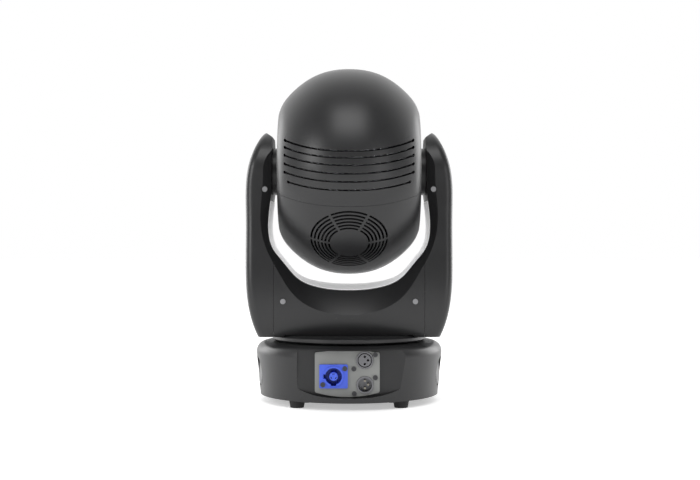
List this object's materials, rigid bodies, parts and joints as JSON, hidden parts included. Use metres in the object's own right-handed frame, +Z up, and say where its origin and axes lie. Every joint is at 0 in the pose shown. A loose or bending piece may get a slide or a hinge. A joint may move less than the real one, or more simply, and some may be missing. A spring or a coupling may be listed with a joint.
{
  "type": "moving head light",
  "caption": "Compact moving head spot light: a domed head with a lens in front and a fan grille behind tilts in a U-shaped yoke that pans on a round base with power and data sockets.",
  "frame": {"origin": "on the pan axis, in the plane that the rubber feet stand on", "axes": "+Z up along the pan axis; +X to the right seen from the connector side, along the tilt axis; the connector panel faces -Y and the beam leaves towards +Y"},
  "size_m": [0.2354, 0.2377, 0.384],
  "materials": {
    "moulded_black": "satin, fine moulded texture",
    "rubber_black": "matte",
    "plate_black": "satin powder coat",
    "panel_grey": "satin paint",
    "inlet_blue": "semi-gloss",
    "socket_metal": "satin",
    "contact_brass": "polished",
    "screw_steel": "satin",
    "screw_black": "satin",
    "display_glass": "glossy",
    "button_black": "satin",
    "circuit_green": "solder mask",
    "bearing_steel": "ground",
    "frame_steel": "zinc plated",
    "aluminium_plain": "satin",
    "motor_black": "satin",
    "belt_black": "matte",
    "lens_glass": "coated, clear",
    "filter_glass": "dichroic",
    "led_yellow": "phosphor"
  },
  "bodies": {
    "base": {"base_housing": "moulded_black", "bottom_plate": "plate_black", "rubber_feet": "rubber_black", "bottom_screws": "screw_black", "connector_panel": "panel_grey", "power_inlet": "inlet_blue", "data_output": "socket_metal", "data_input": "socket_metal", "contacts": "contact_brass", "panel_screws": "screw_black", "side_vents": "moulded_black", "display_panel": "moulded_black", "display_screen": "display_glass", "display_board": "circuit_green", "bearing_hub": "aluminium_plain", "pan_bearings": "bearing_steel", "pan_motor": "motor_black", "pan_belt": "belt_black", "power_supply": "aluminium_plain", "control_board": "circuit_green"},
    "yoke": {"turntable": "moulded_black", "pan_shaft": "aluminium_plain", "pan_pulley": "aluminium_plain", "saddle_cover": "moulded_black", "side_cover_left": "moulded_black", "side_cover_right": "moulded_black", "rear_cover": "moulded_black", "front_cover": "moulded_black", "yoke_screws": "screw_steel", "yoke_frame": "frame_steel", "tilt_bearings": "bearing_steel", "tilt_motor": "motor_black", "tilt_belt": "belt_black"},
    "head": {"head_top_cover": "moulded_black", "head_bottom_cover": "moulded_black", "front_bezel": "moulded_black", "front_lens": "lens_glass", "head_screws": "screw_black", "chassis": "aluminium_plain", "tilt_axles": "aluminium_plain", "tilt_pulley": "aluminium_plain", "heat_sink": "aluminium_plain", "light_engine": "led_yellow", "condenser_lens": "lens_glass", "fan_frame": "motor_black", "effect_motors": "motor_black"},
    "fan_rotor": {"fan_rotor": "motor_black"},
    "colour_wheel": {"colour_wheel": "aluminium_plain", "colour_filters": "filter_glass"},
    "gobo_wheel": {"gobo_wheel": "aluminium_plain"},
    "prism_arm": {"prism_arm": "aluminium_plain", "prism": "lens_glass"},
    "focus_carriage": {"focus_carriage": "plate_black", "focus_lens": "lens_glass"},
    "pan_motor_pulley": {"pan_motor_pulley": "frame_steel"},
    "tilt_motor_pulley": {"tilt_motor_pulley": "frame_steel"},
    "button_menu": {"button_menu": "button_black"},
    "button_up": {"button_up": "button_black"},
    "button_down": {"button_down": "button_black"},
    "button_enter": {"button_enter": "button_black"}
  },
  "joints": [
    {"name": "pan", "type": "hinge", "parent": "base", "child": "yoke", "pos_m": [0, 0, 0.07], "axis": [0, 0, 1], "range_deg": [-270, 270]},
    {"name": "tilt", "type": "hinge", "parent": "yoke", "child": "head", "pos_m": [0, 0, 0.265], "axis": [1, 0, 0], "range_deg": [-66.5, 203.5]},
    {"name": "pan_motor_turn", "type": "hinge", "parent": "base", "child": "pan_motor_pulley", "pos_m": [0, 0.058, 0.033], "axis": [0, 0, 1], "range_deg": [-1350, 1350]},
    {"name": "tilt_motor_turn", "type": "hinge", "parent": "yoke", "child": "tilt_motor_pulley", "pos_m": [0.104, 0, 0.104], "axis": [1, 0, 0], "range_deg": [-207.81, 635.94]},
    {"name": "fan_turn", "type": "hinge", "parent": "head", "child": "fan_rotor", "pos_m": [0, -0.06364, 0.20136], "axis": [0, -0.7071, -0.7071], "continuous": true},
    {"name": "colour_turn", "type": "hinge", "parent": "head", "child": "colour_wheel", "pos_m": [0, -0.00618, 0.29911], "axis": [0, 0.9304, 0.3665], "continuous": true},
    {"name": "gobo_turn", "type": "hinge", "parent": "head", "child": "gobo_wheel", "pos_m": [0, 0.02339, 0.23767], "axis": [0, 0.9304, 0.3665], "continuous": true},
    {"name": "prism_flip", "type": "hinge", "parent": "head", "child": "prism_arm", "pos_m": [0.042, 0.03424, 0.26129], "axis": [0, 0.9304, 0.3665], "range_deg": [0, 70]},
    {"name": "focus_slide", "type": "slide", "parent": "head", "child": "focus_carriage", "axis": [0, 0.9304, 0.3665], "range_m": [-0.012, 0.016]},
    {"name": "press_menu", "type": "slide", "parent": "base", "child": "button_menu", "axis": [0, -1, 0], "range_m": [0, 0.0012], "stiffness_N_per_m": 400, "springref_m": -0.002},
    {"name": "press_up", "type": "slide", "parent": "base", "child": "button_up", "axis": [0, -1, 0], "range_m": [0, 0.0012], "stiffness_N_per_m": 400, "springref_m": -0.002},
    {"name": "press_down", "type": "slide", "parent": "base", "child": "button_down", "axis": [0, -1, 0], "range_m": [0, 0.0012], "stiffness_N_per_m": 400, "springref_m": -0.002},
    {"name": "press_enter", "type": "slide", "parent": "base", "child": "button_enter", "axis": [0, -1, 0], "range_m": [0, 0.0012], "stiffness_N_per_m": 400, "springref_m": -0.002}
  ],
  "couplings": [
    {"joint": "pan_motor_turn", "follows": "pan", "ratio": 5},
    {"joint": "tilt_motor_turn", "follows": "tilt", "ratio": 3.125}
  ]
}
